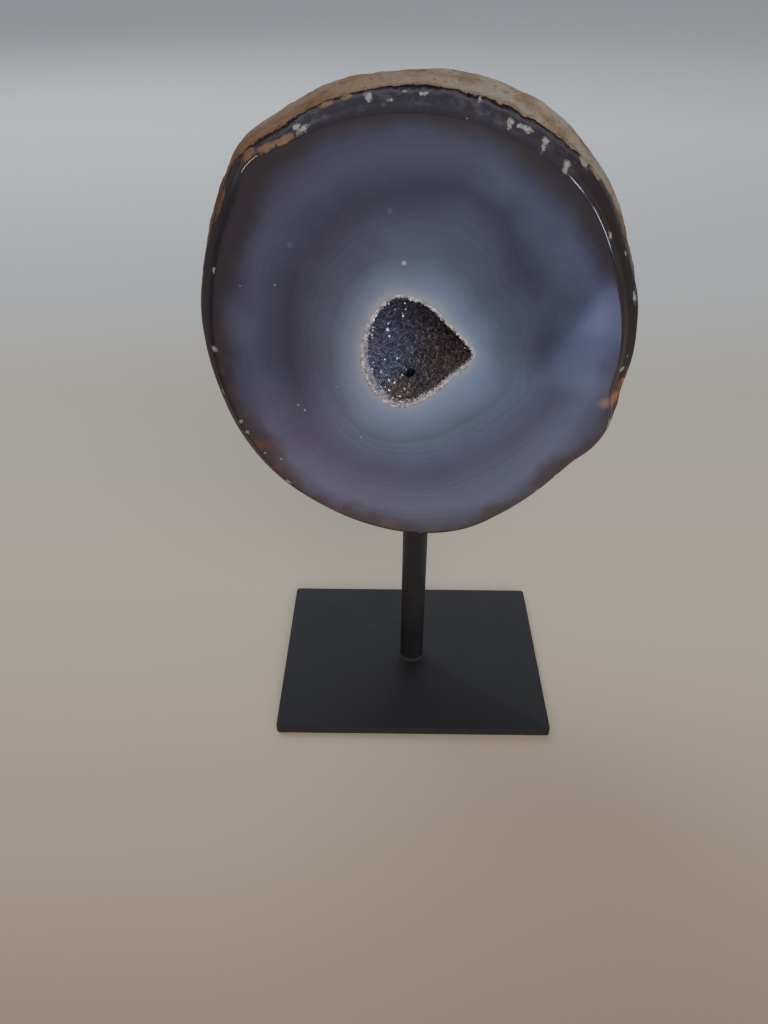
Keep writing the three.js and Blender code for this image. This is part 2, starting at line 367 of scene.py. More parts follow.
def add_tube(name, sides, rings):
    """A plain tube of unit radius along +Y with one ring to each unit of length."""
    deselect_all()
    bpy.ops.mesh.primitive_circle_add(
        vertices=sides, radius=1, fill_type="NOTHING", location=(0, 0, 0), rotation=(math.pi / 2, 0, 0)
    )
    tube = bpy.context.object
    tube.name = name
    tube.data.name = name
    bpy.ops.object.transform_apply(location=True, rotation=True, scale=True)
    bpy.ops.object.mode_set(mode="EDIT")
    bpy.ops.mesh.select_all(action="SELECT")
    for _ in range(rings - 1):
        bpy.ops.mesh.extrude_region_move(TRANSFORM_OT_translate={"value": (0, 1, 0)})
    bpy.ops.object.mode_set(mode="OBJECT")
    return tube


def shape_tube(tube, point_of):
    """Moves each vertex of a plain tube to point_of(ring, degrees), then closes its ends."""
    places = []
    for vertex in tube.data.vertices:
        ring = round(vertex.co.y)
        degrees = math.degrees(math.atan2(vertex.co.z, vertex.co.x)) % FULL_TURN
        places.append(point_of(ring, degrees))
    for vertex, place in zip(tube.data.vertices, places):
        vertex.co = place
    select_only(tube)
    bpy.ops.object.mode_set(mode="EDIT")
    bpy.ops.mesh.select_all(action="SELECT")
    bpy.ops.mesh.remove_doubles(threshold=1e-6)
    bpy.ops.mesh.normals_make_consistent(inside=False)
    bpy.ops.object.mode_set(mode="OBJECT")
    bpy.ops.object.shade_smooth()


def apply_modifier(obj, modifier):
    """Applies one modifier of an object."""
    select_only(obj)
    bpy.ops.object.modifier_apply(modifier=modifier.name)


def store_values(obj, name, values):
    """Stores one number for each vertex, for the materials to read."""
    attribute = obj.data.attributes.new(name, "FLOAT", "POINT")
    attribute.data.foreach_set("value", values)


def add_node(tree, kind, values=None, links=None, stops=None, **settings):
    """Adds a shader node with its settings, socket values, incoming links and colour stops.

    A value may be a hex colour. A link comes from a socket, or from a node's first output in use.
    A Mix of colours has its factor at socket 0 and its two colours at 6 and 7."""
    node = tree.nodes.new("ShaderNode" + kind)
    for name, value in settings.items():
        setattr(node, name, value)
    for socket, value in (values or {}).items():
        node.inputs[socket].default_value = (*linear(value), 1) if isinstance(value, str) else value
    for socket, source in (links or {}).items():
        if isinstance(source, bpy.types.Node):
            source = next(output for output in source.outputs if output.enabled)
        tree.links.new(source, node.inputs[socket])
    if stops:
        elements = node.color_ramp.elements
        while len(elements) > 1:
            elements.remove(elements[-1])
        elements[0].position = stops[0][0]
        elements[0].color = (*linear(stops[0][1]), 1)
        for position, code in stops[1:]:
            elements.new(position).color = (*linear(code), 1)
    return node


def new_material(name):
    """A material with an empty node tree."""
    material = bpy.data.materials.new(name)
    material.use_nodes = True
    material.node_tree.nodes.clear()
    return material


def finish_material(material, values, links):
    """Gives a material its shader, with the shader's values and links, and its output."""
    shader = add_node(material.node_tree, "BsdfPrincipled", values, links)
    add_node(material.node_tree, "OutputMaterial", links={"Surface": shader})
    return material


def edge_reach_table():
    """Angles and reaches of the face's edge, measured again from the middle of the hollow."""
    angles = []
    reaches = []
    for step in range(720):
        x, _, z = place_at(FACE_CENTRE, step / 2, reach_at(FACE_OUTLINE, step / 2), 0)
        angle, reach = polar(x, z, HOLLOW_CENTRE)
        angles.append(angle)
        reaches.append(reach)
    order = np.argsort(angles)
    return np.array(angles)[order], np.array(reaches)[order]


def growth_at(x, z, edge_table):
    """How far a point lies from the hollow's rim, 0, to the face's edge, 1, by the growth lines."""
    degrees, reach = polar(x, z, HOLLOW_CENTRE)
    edge = float(np.interp(degrees, *edge_table, period=FULL_TURN))
    pale = min(reach_at(PALE_BAND, degrees), edge - 3)
    rim = min(max(reach_at(DARK_RIM, degrees), pale + 1), edge - 1)
    lines = [
        reach_at(HOLLOW_OUTLINE, degrees),
        min(reach_at(DARK_BAND, degrees), pale - 2),
        pale,
        rim,
        edge,
    ]
    return float(np.interp(reach, lines, GROWTH_STEPS))


def rind_swell(degrees, depth):
    """Low swells of the rind, from three crossing waves."""
    a = math.radians(degrees)
    across = math.sin(5 * a + 0.16 * depth + 0.4)
    slant = math.sin(9 * a - 0.33 * depth + 2.1)
    fine = math.sin(14 * a + 0.5 * depth + 4.0) * math.sin(0.42 * depth + 1.2)
    return 0.45 * (0.6 * across + 0.5 * slant + 0.4 * fine)


def stone_rings(bevel_depth, widest_depth, thickness):
    """The stone's rings from the bottom of the hollow, over the face and round to the back."""
    rings = [("hollow", t) for t in np.linspace(0, 0.985, 24)]
    rings += [("hollow", 0.997), ("face", 0.0), ("face", 0.003)]
    rings += [("face", t) for t in np.linspace(0.016, 0.98, 57)]
    rings += [("face", t) for t in (0.987, 0.991, 0.9945, 0.9975, 1.0)]
    rings += [("side", d) for d in (0.25, 0.42, 0.62)]
    rings += [("side", d) for d in np.linspace(0.9, bevel_depth, 12)]
    rings += [("side", d) for d in np.linspace(bevel_depth, widest_depth, 17)[1:]]
    rings += [("dome", t) for t in np.linspace(0, 1, 30)[1:]]
    return rings


def stone_point(ring, degrees, settings, hollow_depth):
    """Where a point of one of the stone's rings lies, in millimetres."""
    zone, value = ring
    face_y = settings.face_y / MM
    bevel_depth = settings.bevel_depth / MM
    widest_depth = settings.widest_depth / MM
    if zone == "hollow":
        return hollow_point(degrees, 90 * (1 - value), 0.0, face_y, hollow_depth)
    face = reach_at(FACE_OUTLINE, degrees)
    if zone == "face":
        inner = hollow_point(degrees, 0, 0.0, face_y, hollow_depth)
        outer = Vector(place_at(FACE_CENTRE, degrees, face, face_y))
        # The polishing wheel rounded the last half millimetre.
        inward = (1 - value) * (outer - inner).length
        drop = 0.12 * max(0.0, 1 - inward / 0.5) ** 2
        return inner.lerp(outer, value) + Vector((0, drop, 0))
    bevel = face + reach_at(BEVEL_REACH, degrees)
    widest = face + reach_at(RIND_REACH, degrees)
    out = 1.0
    if zone == "dome":
        up = math.sin(value * math.pi / 2)
        out = max(0.0, 1 - up**ROUNDNESS) ** (1 / ROUNDNESS)
        depth = widest_depth + (settings.thickness / MM - widest_depth) * up
        reach = widest
    else:
        depth = value
        if depth > bevel_depth:
            t = (depth - bevel_depth) / (widest_depth - bevel_depth)
            reach = bevel + (widest - bevel) * math.sin(t * math.pi / 2)
        else:
            reach = face + (bevel - face) * (depth / bevel_depth) ** 0.8
    swell = rind_swell(degrees, depth) * smooth_step(2.5, 7.5, depth) * min(1.0, out * 2)
    return Vector(place_at(FACE_CENTRE, degrees, reach * out + swell, face_y + depth))


def hollow_point(degrees, lift, inset, face_y, hollow_depth):
    """A point of the hollow's wall, from lift 0 at the face to 90 at the bottom, in millimetres."""
    across = math.cos(math.radians(lift))
    away = math.sin(math.radians(lift))
    norm = (across**ROUNDNESS + away**ROUNDNESS) ** (1 / ROUNDNESS)
    reach = (reach_at(HOLLOW_OUTLINE, degrees) - inset) * across / norm
    depth = (hollow_depth - inset) * away / norm
    return Vector(place_at(HOLLOW_CENTRE, degrees, reach, face_y + depth))


def spot_strength(spots, degrees, behind, reach):
    """How strongly the nearest of some edge spots shows at a point: 0.5 at its outline."""
    best = 0.0
    for angle, back, length, width in spots:
        turn = (degrees - angle + 180) % FULL_TURN - 180
        along = math.radians(turn) * reach / length
        if abs(along) < 2.2:
            across = (behind - back) / width
            best = max(best, 1 - 0.5 * math.hypot(along, across))
    return best


def paint_stone(stone, settings, hollow_depth):
    """Stores what the agate material needs to know of each vertex.

    "growth" goes on past 1 behind the face, by one in 20 mm. "sideways" and "upward" point away from
    the hollow. "skin", "chip", "patch" and "rim" are 0.5 at the outline of what they show."""
    edge_table = edge_reach_table()
    face_y = settings.face_y / MM
    values = {name: [] for name in STONE_VALUES}
    for vertex in stone.data.vertices:
        x, y, z = (c / MM for c in vertex.co)
        depth = y - face_y
        degrees, reach = polar(x, z, FACE_CENTRE)
        edge = reach_at(FACE_OUTLINE, degrees)
        # Measured along the slope of the bevel, or inwards over the face.
        behind = depth * 1.25 if depth > ON_FACE else reach - edge
        growth = growth_at(x, z, edge_table) if depth < ON_FACE else 1 + depth / 20
        around = math.hypot(x - HOLLOW_CENTRE[0], z - HOLLOW_CENTRE[1]) + 1e-6
        values["growth"].append(growth)
        values["sideways"].append((x - HOLLOW_CENTRE[0]) / around)
        values["upward"].append((z - HOLLOW_CENTRE[1]) / around)
        # The wall of the hollow has no rind.
        inside = reach < 0.5 * edge and depth < hollow_depth + 1
        skin = 0.0 if inside else (depth - reach_at(RIND_START, degrees)) / 4 + 0.5
        values["skin"].append(min(1.0, max(0.0, skin)))
        values["chip"].append(spot_strength(CHIPS, degrees, behind, reach))
        values["patch"].append(spot_strength(RIND_PATCHES, degrees, behind, reach))
        glow = 0.0
        for angle, out, size in GLOW_SPOTS:
            glow_x, _, glow_z = place_at(FACE_CENTRE, angle, out, 0)
            away = (x - glow_x) ** 2 + (z - glow_z) ** 2 + 0.1 * depth**2
            glow = max(glow, math.exp(-away / size**2))
        values["glow"].append(glow)
        past_rim = (reach_at(RIM_WIDTH, degrees) - (edge - reach)) / 8
        values["rim"].append(0.5 + past_rim if depth < ON_FACE else 1)
    for name in STONE_VALUES:
        store_values(stone, name, values[name])


def banded_colour(tree, place, read, height):
    """Smooth bands of chalcedony, which follow the stone's growth from the hollow outwards."""
    # The bands wander by about a millimetre over each 16 mm, and a little more finely.
    wander = add_node(tree, "TexNoise", {"Scale": 62, "Detail": 3, "Roughness": 0.55}, {"Vector": place})
    shift = add_node(tree, "Math", {1: 0.5}, {0: wander}, operation="SUBTRACT")
    grown = add_node(tree, "Math", {1: 0.09}, {0: shift, 2: read["growth"]}, operation="MULTIPLY_ADD")

    # Bands outwards from the hollow: pale blue-grey, steel, plum and lavender chalcedony.
    above = add_node(
        tree,
        "ValToRGB",
        links={"Fac": grown},
        stops=[
            (0.0, "#838999"), (0.04, "#6b7791"), (0.1, "#5c6983"), (0.2, "#485064"),
            (0.35, "#3f445a"), (0.5, "#313348"), (0.6, "#363c53"), (0.75, "#40445e"),
            (0.88, "#373d55"), (1.0, "#2e2f41"),
        ],
    )
    below = add_node(
        tree,
        "ValToRGB",
        links={"Fac": grown},
        stops=[
            (0.0, "#818799"), (0.04, "#707d9b"), (0.12, "#657291"), (0.2, "#5c667f"),
            (0.262, "#525b72"), (0.29, "#566077"), (0.42, "#505471"), (0.52, "#4c4d65"),
            (0.62, "#51526b"), (0.632, "#4f5069"), (0.65, "#54566f"), (0.78, "#595b74"),
            (0.88, "#4e4e63"), (1.0, "#444353"),
        ],
    )
    bands = add_node(tree, "Mix", links={0: height, 6: below, 7: above}, **COLOURS)

    # The left flank is browner and the right one bluer.
    flank = add_node(tree, "MapRange", {"From Min": -0.9, "From Max": 0.9}, {"Value": read["sideways"]})
    tint = add_node(
        tree, "ValToRGB", links={"Fac": flank}, stops=[(0.0, "#fff4f0"), (0.5, "#fefefe"), (1.0, "#f6fbff")]
    )
    bands = add_node(tree, "Mix", {0: 1.0}, {6: bands, 7: tint}, blend_type="MULTIPLY", **COLOURS)

    # Faint growth lines about a millimetre apart, and soft plum and blue clouds of about 18 mm.
    lines = add_node(
        tree, "TexNoise", {"Scale": 40, "Detail": 2, "Roughness": 0.6}, {"W": grown}, noise_dimensions="1D"
    )
    tone = add_node(
        tree,
        "MapRange",
        {"From Min": 0.25, "From Max": 0.75, "To Min": 0.95, "To Max": 1.05},
        {"Value": lines},
    )
    colour = add_node(tree, "VectorMath", links={0: bands, "Scale": tone}, operation="SCALE")
    clouds = add_node(tree, "TexNoise", {"Scale": 55, "Detail": 2, "Roughness": 0.5}, {"Vector": place})
    for low, high, code in ((0.5, 0.75, "#3a3040"), (0.5, 0.25, "#5a6785")):
        cloud = add_node(
            tree,
            "MapRange",
            {"From Min": low, "From Max": high, "To Max": 0.15},
            {"Value": clouds},
            **SMOOTH,
        )
        colour = add_node(tree, "Mix", {7: code}, {0: cloud, 6: colour}, **COLOURS)
    return colour


def rusty_spots(tree, place, read):
    """How rusty the stone is, in spots that lie mostly low on the left."""
    rusty = add_node(tree, "TexNoise", {"Scale": 150, "Detail": 3, "Roughness": 0.5}, {"Vector": place})
    rusty = add_node(
        tree, "MapRange", {"From Min": 0.44, "From Max": 0.68, "To Max": 0.8}, {"Value": rusty}, **SMOOTH
    )
    low_left = add_node(tree, "MapRange", {"From Min": 0.35, "From Max": -0.5}, {"Value": read["upward"]})
    rusty = add_node(tree, "Math", links={0: rusty, 1: low_left}, operation="MULTIPLY")
    leftward = add_node(
        tree, "MapRange", {"From Min": 0.45, "From Max": 0.05, "To Min": 0.2}, {"Value": read["sideways"]}
    )
    rusty = add_node(tree, "Math", links={0: rusty, 1: leftward}, operation="MULTIPLY")
    return rusty


def smoky_rim(tree, place, read, height, rusty, colour):
    """The colour with a smoky brown rim, rusty in spots, in scallops 8 to 12 mm long."""
    scallops = add_node(tree, "TexNoise", {"Scale": 85, "Detail": 2, "Roughness": 0.5}, {"Vector": place})
    scallops = add_node(tree, "Math", {1: 0.5}, {0: scallops}, operation="SUBTRACT")
    depth_of_scallops = add_node(
        tree,
        "MapRange",
        {"From Min": -0.7, "From Max": 0.2, "To Min": 2.2, "To Max": 0.8},
        {"Value": read["upward"]},
    )
    rim = add_node(
        tree, "Math", links={0: scallops, 1: depth_of_scallops, 2: read["rim"]}, operation="MULTIPLY_ADD"
    )
    rim = add_node(
        tree, "MapRange", {"From Min": 0.15, "From Max": 1.0, "To Max": 0.9}, {"Value": rim}, **SMOOTH
    )
    smoke = add_node(tree, "Mix", {6: "#40363a", 7: "#29252e"}, {0: height}, **COLOURS)
    smoke = add_node(tree, "Mix", {7: "#5c3c2b"}, {0: rusty, 6: smoke}, **COLOURS)
    colour = add_node(tree, "Mix", links={0: rim, 6: colour, 7: smoke}, **COLOURS)
    return colour


def bevel_with_painted_sheen(tree, read, rugged_skin, rusty):
    """The bevel: grey that is partly painted sheen, palest mid-way, nearly black beside the rind, browner
    at its sides, rusty low left.
    """
    # The ramp's grey, palest at 0.14, is partly the stone's colour and partly a painted sheen for the top
    # of the bevel.
    bevel = add_node(
        tree,
        "ValToRGB",
        links={"Fac": rugged_skin},
        stops=[
            (0.0, "#34313a"), (0.14, "#47444c"), (0.28, "#403d44"), (0.38, "#1b191d"),
            (0.46, "#1c191a"),
        ],
    )
    flank = add_node(tree, "Math", links={0: read["sideways"]}, operation="ABSOLUTE")
    flank = add_node(
        tree, "MapRange", {"From Min": 0.45, "From Max": 0.8, "To Max": 0.85}, {"Value": flank}
    )
    brown = add_node(tree, "Mix", {7: "#2c2222"}, {0: flank, 6: bevel}, **COLOURS)
    brown = add_node(tree, "Mix", {7: "#46332a"}, {0: rusty, 6: brown}, **COLOURS)
    return brown


def edge_glow(tree, read, bites, past_edge, colour):
    """The colour with the light that comes through the stone's thin edge by the notch.

    It is orange on the bevel and pinker inside."""
    warm = add_node(tree, "Mix", {6: "#776360", 7: "#9c643c"}, {0: past_edge}, **COLOURS)
    glow = add_node(tree, "Math", {1: 0.9}, {0: bites, 2: read["glow"]}, operation="MULTIPLY_ADD")
    glow = add_node(
        tree, "MapRange", {"From Min": 0.1, "From Max": 1.0, "To Max": 0.85}, {"Value": glow}, **SMOOTH
    )
    glow = add_node(tree, "Math", links={0: glow, 1: read["glow"]}, operation="MINIMUM")
    colour = add_node(tree, "Mix", links={0: glow, 6: colour, 7: warm}, **COLOURS)
    return colour


def face_specks(tree, place, face_y, colour):
    """The colour with the specks within the polished face, each a small soft dot."""
    for x, z, size, strength in FACE_SPECKS:
        gap = add_node(
            tree, "VectorMath", {1: (x * MM, face_y, z * MM)}, {0: place}, operation="DISTANCE"
        )
        speck = add_node(
            tree,
            "MapRange",
            {"From Min": size * MM, "From Max": 0.2 * size * MM, "To Max": strength},
            {"Value": gap},
            **SMOOTH,
        )
        colour = add_node(tree, "Mix", {7: "#a7abb3"}, {0: speck, 6: colour}, **COLOURS)
    return colour


def chalky_rind(tree, place, read, rugged_skin, grain, pits, main_colour):
    """The rind: chalky, with rusty clouds of 8 mm and dark pits under 1 mm."""
    rust = add_node(tree, "TexNoise", {"Scale": 120, "Detail": 5, "Roughness": 0.6}, {"Vector": place})
    rust = add_node(tree, "MapRange", {"From Min": 0.45, "From Max": 0.7, "To Max": 0.8}, {"Value": rust})
    tanned = add_node(tree, "MapRange", {"From Min": -0.7, "From Max": 0.5}, {"Value": read["sideways"]})
    # The back of the stone is chalky all over.
    behind = add_node(
        tree, "MapRange", {"From Min": 1.3, "From Max": 2.0, "To Max": 0.8}, {"Value": read["growth"]}
    )
    tanned = add_node(tree, "Math", links={0: tanned, 1: behind}, operation="MAXIMUM")
    chalk = add_node(tree, "Mix", {6: "#6e5340", 7: (*main_colour, 1)}, {0: tanned}, **COLOURS)
    chalk = add_node(tree, "Mix", {7: "#64472f"}, {0: rust, 6: chalk}, **COLOURS)
    # The rind's border is browner, in two uneven lines.
    border = add_node(
        tree,
        "ValToRGB",
        links={"Fac": rugged_skin},
        stops=[(0.5, "#7a7a7a"), (0.56, "#282828"), (0.64, "#c8c8c8"), (0.76, "#000000")],
    )
    chalk = add_node(tree, "Mix", {7: "#574234"}, {0: border, 6: chalk}, **COLOURS)
    speckle = add_node(
        tree,
        "MapRange",
        {"From Min": 0.3, "From Max": 0.7, "To Min": 0.78, "To Max": 1.15},
        {"Value": grain},
    )
    pit_tone = add_node(tree, "MapRange", {"To Min": 0.72, "To Max": 1.0}, {"Value": pits})
    speckle = add_node(tree, "Math", links={0: speckle, 1: pit_tone}, operation="MULTIPLY")
    chalk = add_node(tree, "VectorMath", links={0: chalk, "Scale": speckle}, operation="SCALE")
    return chalk


def edge_gleam(tree, read):
    """How well the stone mirrors: strongly on the face, and hardly on the bevel."""
    gleam = add_node(
        tree,
        "MapRange",
        {"From Min": 1.01, "From Max": 1.08, "To Min": 0.5, "To Max": 0.04},
        {"Value": read["growth"]},
    )
    # Below its upper part the left edge is a little worn and throws back less light.
    worn = add_node(tree, "MapRange", {"From Min": 0.975, "From Max": 0.99}, {"Value": read["growth"]})
    for side, start, end in (("sideways", -0.3, -0.6), ("upward", 0.72, 0.66)):
        reach = add_node(tree, "MapRange", {"From Min": start, "From Max": end}, {"Value": read[side]})
        worn = add_node(tree, "Math", links={0: worn, 1: reach}, operation="MULTIPLY")
    gleam = add_node(tree, "MapRange", {"To Max": 0.03}, {"Value": worn, "To Min": gleam})
    return gleam


def polished_agate(settings):
    """Chalcedony, cut and polished to a mirror on the face and bevel, with its chalky rind behind.

    The polish gives a clear reflection over smooth bands that lie a little way inside the stone."""
    material = new_material("polished_chalcedony")
    tree = material.node_tree
    place = add_node(tree, "TexCoord").outputs["Object"]
    read = {}
    for name in STONE_VALUES:
        source = add_node(tree, "Attribute", attribute_name=name)
        read[name] = source.outputs["Fac"]

    # How high a point lies, since bands and rim are darker above the hollow than below it.
    height = add_node(
        tree, "Math", {1: -0.12}, {0: read["sideways"], 2: read["upward"]}, operation="MULTIPLY_ADD"
    )
    height = add_node(tree, "MapRange", {"From Min": -0.75, "From Max": 0.1}, {"Value": height}, **SMOOTH)
    rusty = rusty_spots(tree, place, read)
    colour = banded_colour(tree, place, read, height)
    colour = smoky_rim(tree, place, read, height, rusty, colour)

    # Chips and rind have ragged teeth of about a millimetre, and the rind bites of 3 mm too.
    ragged = add_node(tree, "TexNoise", {"Scale": 900, "Detail": 4, "Roughness": 0.65}, {"Vector": place})
    ragged = add_node(tree, "Math", {1: 0.5}, {0: ragged}, operation="SUBTRACT")
    chip = add_node(tree, "Math", {1: 1.1}, {0: ragged, 2: read["chip"]}, operation="MULTIPLY_ADD")
    chip = add_node(tree, "MapRange", {"From Min": 0.56, "From Max": 0.8, "To Max": 0.9}, {"Value": chip})
    bites = add_node(tree, "TexNoise", {"Scale": 330, "Detail": 3, "Roughness": 0.6}, {"Vector": place})
    bites = add_node(tree, "Math", {1: 0.5}, {0: bites}, operation="SUBTRACT")
    rugged_skin = add_node(tree, "Math", {1: 0.7}, {0: bites, 2: read["skin"]}, operation="MULTIPLY_ADD")
    rugged_skin = add_node(tree, "Math", {1: 0.3}, {0: ragged, 2: rugged_skin}, operation="MULTIPLY_ADD")
    skin = add_node(tree, "MapRange", {"From Min": 0.47, "From Max": 0.55}, {"Value": rugged_skin})
    past_edge = add_node(tree, "MapRange", {"From Min": 1.0, "From Max": 1.04}, {"Value": read["growth"]})
    bevel = bevel_with_painted_sheen(tree, read, rugged_skin, rusty)
    colour = add_node(tree, "Mix", links={0: past_edge, 6: colour, 7: bevel}, **COLOURS)
    colour = edge_glow(tree, read, bites, past_edge, colour)
    colour = face_specks(tree, place, settings.face_y, colour)

    # Patches of rind that the wheel left on the bevel.
    patch = add_node(tree, "Math", {1: 0.9}, {0: ragged, 2: read["patch"]}, operation="MULTIPLY_ADD")
    patch = add_node(tree, "MapRange", {"From Min": 0.45, "From Max": 0.6}, {"Value": patch})
    rind = add_node(tree, "Math", links={0: skin, 1: patch}, operation="MAXIMUM")
    grain = add_node(tree, "TexNoise", {"Scale": 1500, "Detail": 3, "Roughness": 0.7}, {"Vector": place})
    pits = add_node(tree, "TexVoronoi", {"Scale": 420}, {"Vector": place})
    pits = add_node(tree, "MapRange", {"From Min": 0.08, "From Max": 0.3}, {"Value": pits})
    chalk = chalky_rind(tree, place, read, rugged_skin, grain, pits, settings.rind_colour)
    colour = add_node(tree, "Mix", links={0: rind, 6: colour, 7: chalk}, **COLOURS)
    colour = add_node(tree, "Mix", {7: (*settings.chip_colour, 1)}, {0: chip, 6: colour}, **COLOURS)

    rough = add_node(tree, "Math", links={0: rind, 1: chip}, operation="MAXIMUM")
    # The face has a mirror polish as far as its edge, and the bevel is only ground smooth.
    dull = add_node(
        tree,
        "MapRange",
        {"From Min": 1.02, "From Max": 1.06, "To Min": settings.polish, "To Max": 0.4},
        {"Value": read["growth"]},
    )
    roughness = add_node(tree, "MapRange", {"To Max": 0.85}, {"Value": rough, "To Min": dull})
    gleam = edge_gleam(tree, read)

    # Only rind and chips have relief that can be felt.
    relief = add_node(tree, "Math", links={0: grain, 1: pits}, operation="ADD")
    relief = add_node(tree, "Math", links={0: relief, 1: rough}, operation="MULTIPLY")
    bump = add_node(tree, "Bump", {"Strength": 0.6, "Distance": 0.0004}, {"Height": relief})
    inputs = {"Base Color": colour, "Roughness": roughness, "Specular IOR Level": gleam, "Normal": bump}
    return finish_material(material, {"IOR": 1.54}, inputs)


def roughen_rind(stone, settings, hollow_depth):
    """Gives the rind lumps of about 7 mm and grit of about 1.5 mm, and the polish none."""
    rough = stone.vertex_groups.new(name="rind")
    for vertex in stone.data.vertices:
        x, y, z = (c / MM for c in vertex.co)
        degrees, reach = polar(x, z, FACE_CENTRE)
        behind = y - settings.face_y / MM
        if reach < 0.4 * reach_at(FACE_OUTLINE, degrees) and behind < hollow_depth + 0.5:
            continue
        start = reach_at(RIND_START, degrees)
        weight = smooth_step(start - 1.2, start + 1.8, behind)
        if weight > 0:
            rough.add([vertex.index], weight, "REPLACE")
    for name, size, height in (
        ("rind_lumps", 0.007, settings.relief),
        ("rind_grit", 0.0016, settings.relief * 0.45),
    ):
        texture = bpy.data.textures.new(name, "CLOUDS")
        texture.noise_scale = size
        texture.noise_depth = 2
        displace = stone.modifiers.new(name, "DISPLACE")
        displace.texture = texture
        displace.texture_coords = "LOCAL"
        displace.vertex_group = "rind"
        displace.strength = height * 2
        displace.mid_level = 0.5
        apply_modifier(stone, displace)


def drill_hole(stone, rod_radius):
    """Drills the blind hole underneath for the rod, with a gap for the glue."""
    rod_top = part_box("rod")[1][2]
    glue = 0.0003
    length = 0.032
    deselect_all()
    bpy.ops.mesh.primitive_cylinder_add(
        vertices=48,
        radius=rod_radius + glue,
        depth=length,
        location=(0, 0, rod_top + glue - length / 2),
    )
    drill = bpy.context.object
    hole = stone.modifiers.new("rod_hole", "BOOLEAN")
    hole.operation = "DIFFERENCE"
    hole.object = drill
    apply_modifier(stone, hole)
    bpy.data.objects.remove(drill)


class AGATE_OT_stone(bpy.types.Operator):
    """Model the agate: hollow, polished face, bevel and rind in one closed stone"""

    bl_idname = "agate.stone"
    bl_label = "Cut the stone"

    def execute(self, context):
        settings = context.scene.agate_stone
        depth = context.scene.agate_druse.depth / MM
        rings = stone_rings(settings.bevel_depth / MM, settings.widest_depth / MM, settings.thickness / MM)
        stone = add_tube("agate_polished", STONE_SIDES, len(rings))
        shape_tube(stone, lambda ring, degrees: stone_point(rings[ring], degrees, settings, depth) * MM)

        roughen_rind(stone, settings, depth)
        drill_hole(stone, context.scene.agate_stand.rod_radius)
        stone.vertex_groups.clear()
        select_only(stone)
        bpy.ops.object.shade_smooth_by_angle(angle=math.radians(50))

        paint_stone(stone, settings, depth)
        stone.data.materials.clear()
        stone.data.materials.append(polished_agate(settings))
        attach(stone, "root")
        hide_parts("agate_stone")
        return {"FINISHED"}


def quartz(settings):
    """Drusy quartz, grown as a crust of small points.

    Clean crystal faces flash in the light, and the crust is dark where the stone behind it is.
    "tone" is a chance number for each point, and "near_face" is high where the quartz is pale."""
    material = new_material("drusy_quartz")
    tree = material.node_tree
    place = add_node(tree, "TexCoord").outputs["Object"]
    axes = add_node(tree, "SeparateXYZ", links={0: place})
    tone = add_node(tree, "Attribute", attribute_name="tone").outputs["Fac"]
    near = add_node(tree, "Attribute", attribute_name="near_face").outputs["Fac"]

    # Blue-grey on the left and brown-grey on the right.
    across = add_node(
        tree, "MapRange", {"From Min": -0.009, "From Max": 0.006}, {"Value": axes.outputs["X"]}, **SMOOTH
    )
    deep = add_node(tree, "Mix", {6: (*settings.dark, 1), 7: "#594e51"}, {0: across}, **COLOURS)
    # The floor of the hollow is browner.
    low = add_node(
        tree,
        "MapRange",
        {"From Min": 0.1142, "From Max": 0.1118, "To Max": 0.7},
        {"Value": axes.outputs["Z"]},
        **SMOOTH,
    )
    deep = add_node(tree, "Mix", {7: "#75604f"}, {0: low, 6: deep}, **COLOURS)
    mixed = add_node(tree, "Mix", {7: (*settings.pale, 1)}, {0: near, 6: deep}, **COLOURS)
    # Grains of about half a millimetre, which show best where the face cuts the crust.
    grains = add_node(tree, "TexVoronoi", {"Scale": 1700}, {"Vector": place})
    grains = add_node(
        tree,
        "MapRange",
        {"From Min": 0.15, "From Max": 0.85, "To Min": 0.5, "To Max": 1.38},
        {"Value": grains.outputs["Color"]},
    )
    mottle = add_node(tree, "TexNoise", {"Scale": 700, "Detail": 3, "Roughness": 0.6}, {"Vector": place})
    mottle = add_node(
        tree,
        "MapRange",
        {"From Min": 0.35, "From Max": 0.65, "To Min": 0.62, "To Max": 1.25},
        {"Value": mottle},
    )
    grains = add_node(tree, "Math", links={0: grains, 1: mottle}, operation="MULTIPLY")
    mixed = add_node(tree, "VectorMath", links={0: mixed, "Scale": grains}, operation="SCALE")
    # Points differ a little in how light they are.
    bright = add_node(tree, "ValToRGB", links={"Fac": tone}, stops=[(0.0, "#c0c0c0"), (0.95, "#ffffff")])
    mixed = add_node(tree, "Mix", {0: 1.0}, {6: mixed, 7: bright}, blend_type="MULTIPLY", **COLOURS)
    left_side = add_node(tree, "Math", {1: -0.004}, {0: axes.outputs["X"]}, operation="LESS_THAN")
    flash = add_node(tree, "Math", {1: 0.98}, {0: tone}, operation="GREATER_THAN")
    flash = add_node(tree, "Math", links={0: flash, 1: left_side}, operation="MULTIPLY")
    # Two clear points in a hundred, on the left, throw light back from inside and are drawn white.
    mixed = add_node(tree, "Mix", {7: "#fbfdff"}, {0: flash, 6: mixed}, **COLOURS)
    # The pit holds a shadow.
    gap = add_node(tree, "VectorMath", {1: Vector(PIT_CENTRE) * MM}, {0: place}, operation="DISTANCE")
    pit = add_node(
        tree,
        "MapRange",
        {"From Min": 1.4 * PIT_RADIUS * MM, "From Max": 0.6 * PIT_RADIUS * MM},
        {"Value": gap},
        **SMOOTH,
    )
    colour = add_node(tree, "Mix", {7: "#131015"}, {0: pit, 6: mixed}, **COLOURS)
    # The light that a clear point throws back is stronger than white paint could show.
    glint = add_node(tree, "Math", {1: 0.5}, {0: flash}, operation="MULTIPLY")
    # Most points are dulled by finer growth on them, and about one in ten is glossy.
    roughness = add_node(
        tree,
        "MapRange",
        {"From Min": 0.86, "From Max": 0.94, "To Min": 0.42, "To Max": 0.1},
        {"Value": tone},
    )
    values = {"IOR": 1.544, "Emission Color": "#dfeaff"}
    inputs = {"Base Color": colour, "Emission Strength": glint, "Roughness": roughness}
    return finish_material(material, values, inputs)


